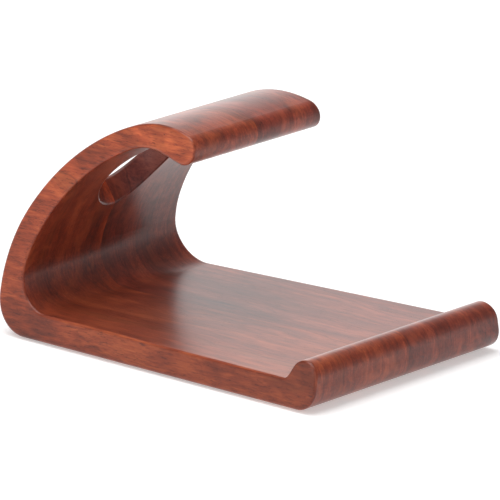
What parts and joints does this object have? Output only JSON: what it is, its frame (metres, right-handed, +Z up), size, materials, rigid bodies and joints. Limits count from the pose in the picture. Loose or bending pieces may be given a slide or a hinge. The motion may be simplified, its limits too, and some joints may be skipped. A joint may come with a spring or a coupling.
{
  "type": "phone stand",
  "caption": "C-shaped solid wood phone stand: flat base with a raised front lip, curved back wall with an oval cable hole, and a hook that holds the phone leaning back.",
  "frame": {"origin": "middle of the footprint, on the surface the stand rests on", "axes": "+Z up, +X along the width, -Y towards the lip where the phone's lower edge sits"},
  "size_m": [0.1032, 0.1504, 0.0839],
  "materials": {
    "rosewood": "satin lacquer over open-pored reddish hardwood",
    "pad": "matt"
  },
  "bodies": {
    "root": {"half_left": "rosewood", "half_right": "rosewood", "pad_front_left": "pad", "pad_front_right": "pad", "pad_rear_left": "pad", "pad_rear_right": "pad"}
  },
  "joints": []
}
